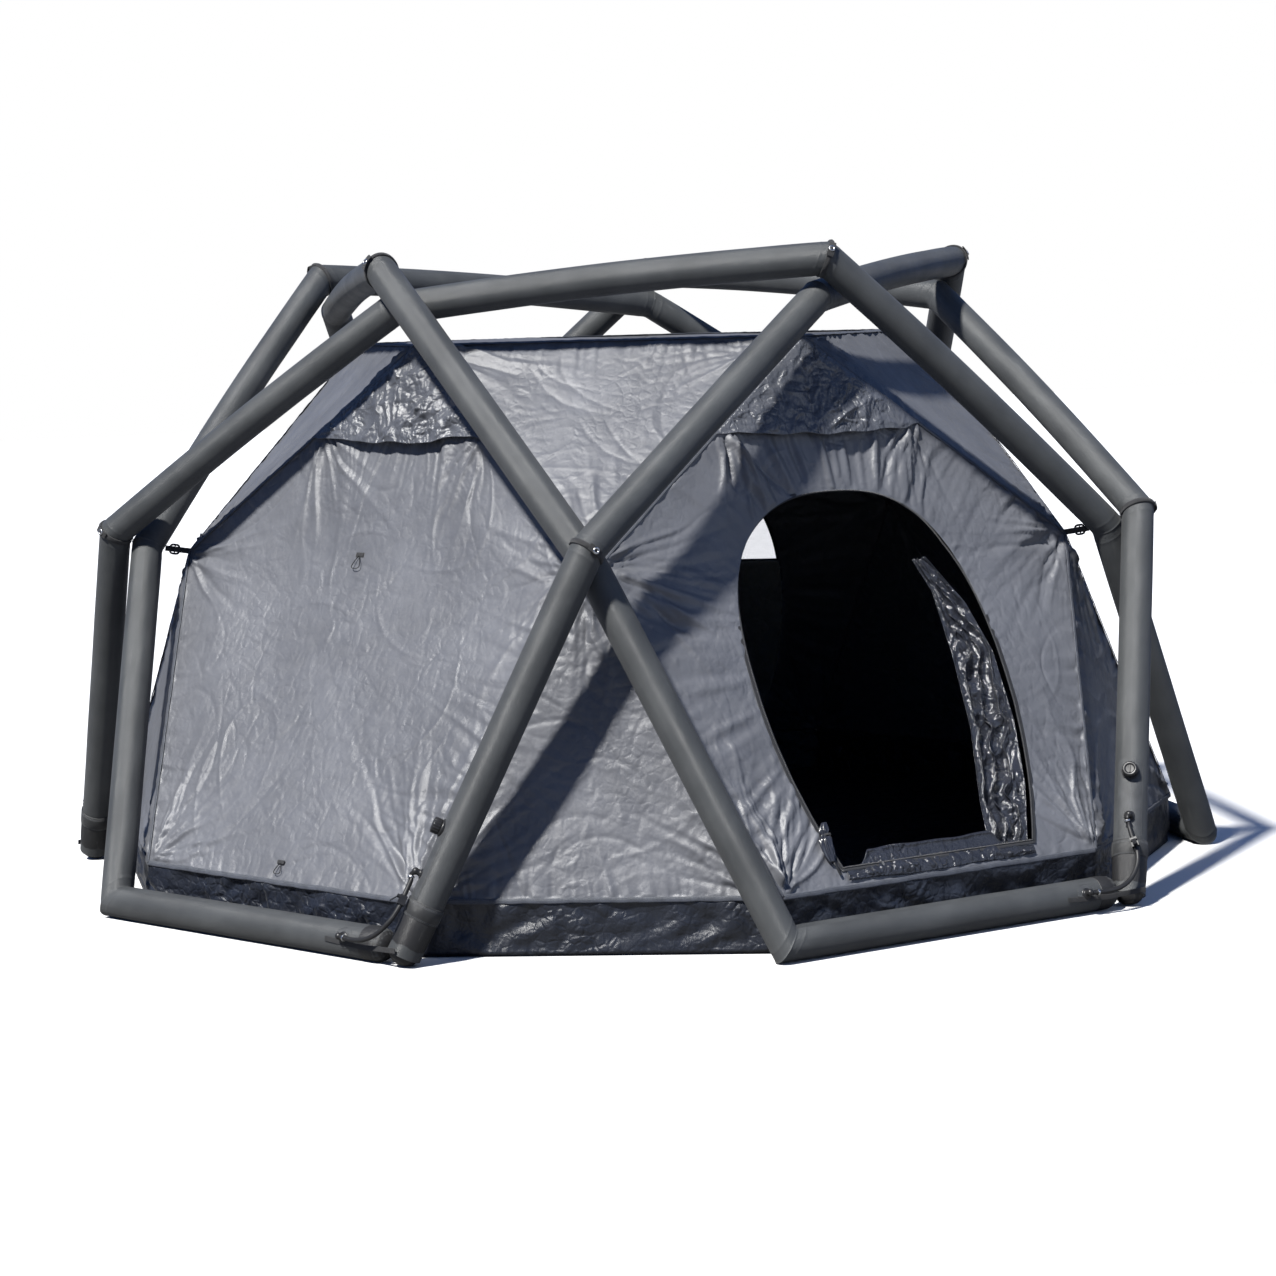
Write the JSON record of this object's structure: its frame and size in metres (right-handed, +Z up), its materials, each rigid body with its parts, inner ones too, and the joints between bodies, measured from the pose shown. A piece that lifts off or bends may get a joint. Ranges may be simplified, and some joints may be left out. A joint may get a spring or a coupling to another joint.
{
  "type": "inflatable geodesic dome tent",
  "caption": "Free-standing dome tent with woven inflatable air beams and an inner tent hung inside them, with an open egg-shaped entrance and a rear mesh window.",
  "frame": {"origin": "middle of the floor's underside, on the ground", "axes": "+Z up, the open entrance faces -Y"},
  "size_m": [3.0052, 2.8808, 1.5642],
  "materials": {
    "sleeve_cloth": "matte woven polyester",
    "bladder_film": "smooth thermoplastic film",
    "black_plastic": "satin moulded plastic",
    "black_rubber": "satin rubber",
    "navy_cloth": "thin coated polyester with a sheen, creased",
    "floor_cloth": "coated groundsheet cloth, satin",
    "window_net": "fine insect netting, see-through",
    "webbing": "woven webbing",
    "slider_metal": "black painted zip slider"
  },
  "bodies": {
    "tent": {"bathtub_floor": "floor_cloth", "beam_1_bladder": "bladder_film", "beam_1_sleeve": "sleeve_cloth", "beam_2_bladder": "bladder_film", "beam_2_sleeve": "sleeve_cloth", "beam_3_bladder": "bladder_film", "beam_3_sleeve": "sleeve_cloth", "beam_4_bladder": "bladder_film", "beam_4_sleeve": "sleeve_cloth", "beam_5_bladder": "bladder_film", "beam_5_sleeve": "sleeve_cloth", "corner_hanger_1": "webbing", "corner_hanger_2": "webbing", "corner_hanger_3": "webbing", "corner_hanger_4": "webbing", "corner_hanger_5": "webbing", "corner_panel_1": "navy_cloth", "corner_panel_2": "navy_cloth", "corner_panel_3": "navy_cloth", "corner_panel_4": "navy_cloth", "corner_panel_5": "navy_cloth", "entrance_wall": "navy_cloth", "hose_clamp_1": "black_plastic", "hose_clamp_2": "black_plastic", "hose_clamp_3": "black_plastic", "hose_clamp_4": "black_plastic", "hose_clamp_5": "black_plastic", "link_hose_1": "black_rubber", "link_hose_2": "black_rubber", "link_hose_3": "black_rubber", "link_hose_4": "black_rubber", "link_hose_5": "black_rubber", "rear_wall": "navy_cloth", "rear_window_mesh": "window_net", "roof": "navy_cloth", "side_wall_1": "navy_cloth", "side_wall_2": "navy_cloth", "side_wall_3": "navy_cloth", "valve_1": "black_plastic", "valve_2": "black_plastic", "valve_3": "black_plastic", "valve_4": "black_plastic", "valve_5": "black_plastic", "vent_hood_1": "navy_cloth", "vent_hood_2": "navy_cloth", "vent_hood_3": "navy_cloth", "vent_hood_4": "navy_cloth", "vent_hood_5": "navy_cloth"},
    "valve_cap_1": {"valve_cap_1": "black_plastic"},
    "clamp_lever_1": {"clamp_lever_1": "black_plastic"},
    "valve_cap_2": {"valve_cap_2": "black_plastic"},
    "clamp_lever_2": {"clamp_lever_2": "black_plastic"},
    "valve_cap_3": {"valve_cap_3": "black_plastic"},
    "clamp_lever_3": {"clamp_lever_3": "black_plastic"},
    "valve_cap_4": {"valve_cap_4": "black_plastic"},
    "clamp_lever_4": {"clamp_lever_4": "black_plastic"},
    "valve_cap_5": {"valve_cap_5": "black_plastic"},
    "clamp_lever_5": {"clamp_lever_5": "black_plastic"},
    "door_flap": {"door_flap": "navy_cloth"},
    "zip_slider": {"zip_slider": "slider_metal"}
  },
  "joints": [
    {"name": "valve_cap_1_turn", "type": "hinge", "parent": "tent", "child": "valve_cap_1", "pos_m": [-1.08136, -0.92823, 0.30333], "axis": [-0.7968, 0.4152, 0.439], "range_deg": [0, 540]},
    {"name": "clamp_lever_1_close", "type": "hinge", "parent": "tent", "child": "clamp_lever_1", "pos_m": [-1.17631, -0.89273, 0.16036], "axis": [-0.2916, -0.9006, 0.3224], "range_deg": [0, 35]},
    {"name": "valve_cap_2_turn", "type": "hinge", "parent": "tent", "child": "valve_cap_2", "pos_m": [0.54864, -1.31527, 0.30333], "axis": [-0.6411, -0.6295, 0.439], "range_deg": [0, 540]},
    {"name": "clamp_lever_2_close", "type": "hinge", "parent": "tent", "child": "clamp_lever_2", "pos_m": [0.48554, -1.3946, 0.16036], "axis": [0.7664, -0.5557, 0.3224], "range_deg": [0, 35]},
    {"name": "valve_cap_3_turn", "type": "hinge", "parent": "tent", "child": "valve_cap_3", "pos_m": [1.42044, 0.11535, 0.30333], "axis": [0.4005, -0.8042, 0.439], "range_deg": [0, 540]},
    {"name": "clamp_lever_3_close", "type": "hinge", "parent": "tent", "child": "clamp_lever_3", "pos_m": [1.47639, 0.03082, 0.16036], "axis": [0.7653, 0.5571, 0.3224], "range_deg": [0, 35]},
    {"name": "valve_cap_4_turn", "type": "hinge", "parent": "tent", "child": "valve_cap_4", "pos_m": [0.32923, 1.38656, 0.30333], "axis": [0.8887, 0.1324, 0.439], "range_deg": [0, 540]},
    {"name": "clamp_lever_4_close", "type": "hinge", "parent": "tent", "child": "clamp_lever_4", "pos_m": [0.42692, 1.41365, 0.16036], "axis": [-0.2934, 0.9, 0.3224], "range_deg": [0, 35]},
    {"name": "valve_cap_5_turn", "type": "hinge", "parent": "tent", "child": "valve_cap_5", "pos_m": [-1.21696, 0.74159, 0.30333], "axis": [0.1487, 0.8861, 0.439], "range_deg": [0, 540]},
    {"name": "clamp_lever_5_close", "type": "hinge", "parent": "tent", "child": "clamp_lever_5", "pos_m": [-1.21253, 0.84287, 0.16036], "axis": [-0.9466, -0.0009, 0.3224], "range_deg": [0, 35]},
    {"name": "door_flap_swing", "type": "hinge", "parent": "tent", "child": "door_flap", "pos_m": [0.268, -1.27328, 0.13791], "axis": [0.1364, 0.4607, 0.877], "range_deg": [-75, 0]},
    {"name": "zip_slider_run", "type": "slide", "parent": "tent", "child": "zip_slider", "axis": [-0.2726, 0.4474, 0.8518], "range_m": [0, 0.15]}
  ]
}
